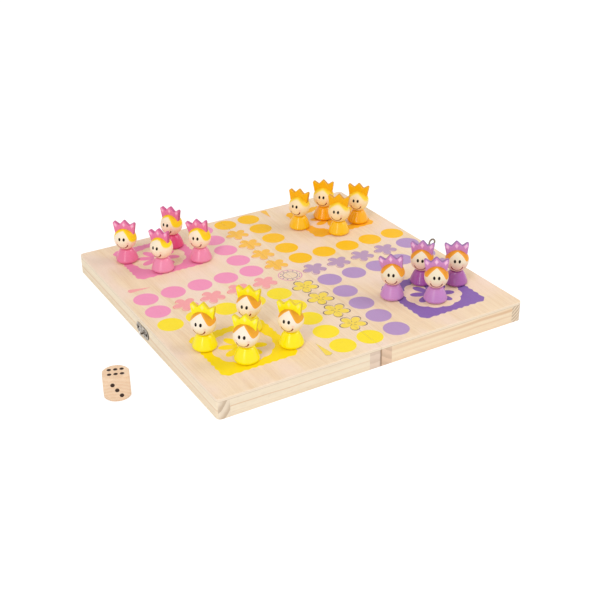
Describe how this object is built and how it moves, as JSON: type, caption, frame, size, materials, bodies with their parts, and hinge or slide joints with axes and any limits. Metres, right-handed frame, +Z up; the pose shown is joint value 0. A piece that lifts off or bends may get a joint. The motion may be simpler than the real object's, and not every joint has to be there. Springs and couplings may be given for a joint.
{
  "type": "folding board game box",
  "caption": "Hinged pair of shallow wooden trays that opens flat into a printed ludo board and shuts into a latched case, with crowned pawns and a die.",
  "frame": {"origin": "middle of the fold line, at the level of the rims that the open board stands on", "axes": "+X across the fold, towards the half with the hasp; +Y along the fold, towards the pink and amber homes; +Z up, out of the playing face"},
  "size_m": [0.3524, 0.28, 0.0576],
  "materials": {
    "printed_panel": "clear-lacquered pale plywood, printed",
    "frame_wood": "clear-lacquered pale softwood",
    "hinge_steel": "zinc-plated",
    "latch_steel": "nickel-plated",
    "die_wood": "clear-lacquered",
    "pink_paint": "semi-gloss painted",
    "pink_head": "satin-painted head with a painted crown",
    "yellow_paint": "semi-gloss painted",
    "yellow_head": "satin-painted head with a painted crown",
    "amber_paint": "semi-gloss painted",
    "amber_head": "satin-painted head with a painted crown",
    "purple_paint": "semi-gloss painted",
    "purple_head": "satin-painted head with a painted crown"
  },
  "bodies": {
    "left_half": {"left_panel": "printed_panel", "left_outer_wall": "frame_wood", "left_fold_wall": "frame_wood", "left_front_wall": "frame_wood", "left_back_wall": "frame_wood", "front_hinge_left_leaf": "hinge_steel", "front_hinge_pin": "hinge_steel", "back_hinge_left_leaf": "hinge_steel", "back_hinge_pin": "hinge_steel", "left_hinge_screws": "hinge_steel", "catch_plate": "latch_steel", "catch_nails": "latch_steel", "catch_knob": "latch_steel"},
    "right_half": {"right_panel": "printed_panel", "right_outer_wall": "frame_wood", "right_fold_wall": "frame_wood", "right_front_wall": "frame_wood", "right_back_wall": "frame_wood", "front_hinge_right_leaf": "hinge_steel", "back_hinge_right_leaf": "hinge_steel", "right_hinge_screws": "hinge_steel", "hasp_plate": "latch_steel", "hasp_nails": "latch_steel", "hasp_pin": "latch_steel"},
    "tongue": {"hasp_tongue": "latch_steel"},
    "die": {"die": "die_wood"},
    "pink_pawn_1": {"pink_pawn_1_body": "pink_paint", "pink_pawn_1_head": "pink_head"},
    "pink_pawn_2": {"pink_pawn_2_body": "pink_paint", "pink_pawn_2_head": "pink_head"},
    "pink_pawn_3": {"pink_pawn_3_body": "pink_paint", "pink_pawn_3_head": "pink_head"},
    "pink_pawn_4": {"pink_pawn_4_body": "pink_paint", "pink_pawn_4_head": "pink_head"},
    "yellow_pawn_1": {"yellow_pawn_1_body": "yellow_paint", "yellow_pawn_1_head": "yellow_head"},
    "yellow_pawn_2": {"yellow_pawn_2_body": "yellow_paint", "yellow_pawn_2_head": "yellow_head"},
    "yellow_pawn_3": {"yellow_pawn_3_body": "yellow_paint", "yellow_pawn_3_head": "yellow_head"},
    "yellow_pawn_4": {"yellow_pawn_4_body": "yellow_paint", "yellow_pawn_4_head": "yellow_head"},
    "amber_pawn_1": {"amber_pawn_1_body": "amber_paint", "amber_pawn_1_head": "amber_head"},
    "amber_pawn_2": {"amber_pawn_2_body": "amber_paint", "amber_pawn_2_head": "amber_head"},
    "amber_pawn_3": {"amber_pawn_3_body": "amber_paint", "amber_pawn_3_head": "amber_head"},
    "amber_pawn_4": {"amber_pawn_4_body": "amber_paint", "amber_pawn_4_head": "amber_head"},
    "purple_pawn_1": {"purple_pawn_1_body": "purple_paint", "purple_pawn_1_head": "purple_head"},
    "purple_pawn_2": {"purple_pawn_2_body": "purple_paint", "purple_pawn_2_head": "purple_head"},
    "purple_pawn_3": {"purple_pawn_3_body": "purple_paint", "purple_pawn_3_head": "purple_head"},
    "purple_pawn_4": {"purple_pawn_4_body": "purple_paint", "purple_pawn_4_head": "purple_head"}
  },
  "joints": [
    {"name": "fold", "type": "hinge", "parent": "left_half", "child": "right_half", "pos_m": [0, 0, -0.0001], "axis": [0, 1, 0], "range_deg": [0, 180]},
    {"name": "latch", "type": "hinge", "parent": "right_half", "child": "tongue", "pos_m": [0.14129, -0.005, 0.0055], "axis": [0, 1, 0], "range_deg": [-38, 142]},
    {"name": "die_lift", "type": "slide", "parent": "left_half", "child": "die", "axis": [0, 0, 1], "range_m": [0, 0.06]},
    {"name": "pink_pawn_1_lift", "type": "slide", "parent": "left_half", "child": "pink_pawn_1", "axis": [0, 0, 1], "range_m": [0, 0.06]},
    {"name": "pink_pawn_2_lift", "type": "slide", "parent": "left_half", "child": "pink_pawn_2", "axis": [0, 0, 1], "range_m": [0, 0.06]},
    {"name": "pink_pawn_3_lift", "type": "slide", "parent": "left_half", "child": "pink_pawn_3", "axis": [0, 0, 1], "range_m": [0, 0.06]},
    {"name": "pink_pawn_4_lift", "type": "slide", "parent": "left_half", "child": "pink_pawn_4", "axis": [0, 0, 1], "range_m": [0, 0.06]},
    {"name": "yellow_pawn_1_lift", "type": "slide", "parent": "left_half", "child": "yellow_pawn_1", "axis": [0, 0, 1], "range_m": [0, 0.06]},
    {"name": "yellow_pawn_2_lift", "type": "slide", "parent": "left_half", "child": "yellow_pawn_2", "axis": [0, 0, 1], "range_m": [0, 0.06]},
    {"name": "yellow_pawn_3_lift", "type": "slide", "parent": "left_half", "child": "yellow_pawn_3", "axis": [0, 0, 1], "range_m": [0, 0.06]},
    {"name": "yellow_pawn_4_lift", "type": "slide", "parent": "left_half", "child": "yellow_pawn_4", "axis": [0, 0, 1], "range_m": [0, 0.06]},
    {"name": "amber_pawn_1_lift", "type": "slide", "parent": "right_half", "child": "amber_pawn_1", "axis": [0, 0, 1], "range_m": [0, 0.06]},
    {"name": "amber_pawn_2_lift", "type": "slide", "parent": "right_half", "child": "amber_pawn_2", "axis": [0, 0, 1], "range_m": [0, 0.06]},
    {"name": "amber_pawn_3_lift", "type": "slide", "parent": "right_half", "child": "amber_pawn_3", "axis": [0, 0, 1], "range_m": [0, 0.06]},
    {"name": "amber_pawn_4_lift", "type": "slide", "parent": "right_half", "child": "amber_pawn_4", "axis": [0, 0, 1], "range_m": [0, 0.06]},
    {"name": "purple_pawn_1_lift", "type": "slide", "parent": "right_half", "child": "purple_pawn_1", "axis": [0, 0, 1], "range_m": [0, 0.06]},
    {"name": "purple_pawn_2_lift", "type": "slide", "parent": "right_half", "child": "purple_pawn_2", "axis": [0, 0, 1], "range_m": [0, 0.06]},
    {"name": "purple_pawn_3_lift", "type": "slide", "parent": "right_half", "child": "purple_pawn_3", "axis": [0, 0, 1], "range_m": [0, 0.06]},
    {"name": "purple_pawn_4_lift", "type": "slide", "parent": "right_half", "child": "purple_pawn_4", "axis": [0, 0, 1], "range_m": [0, 0.06]}
  ]
}
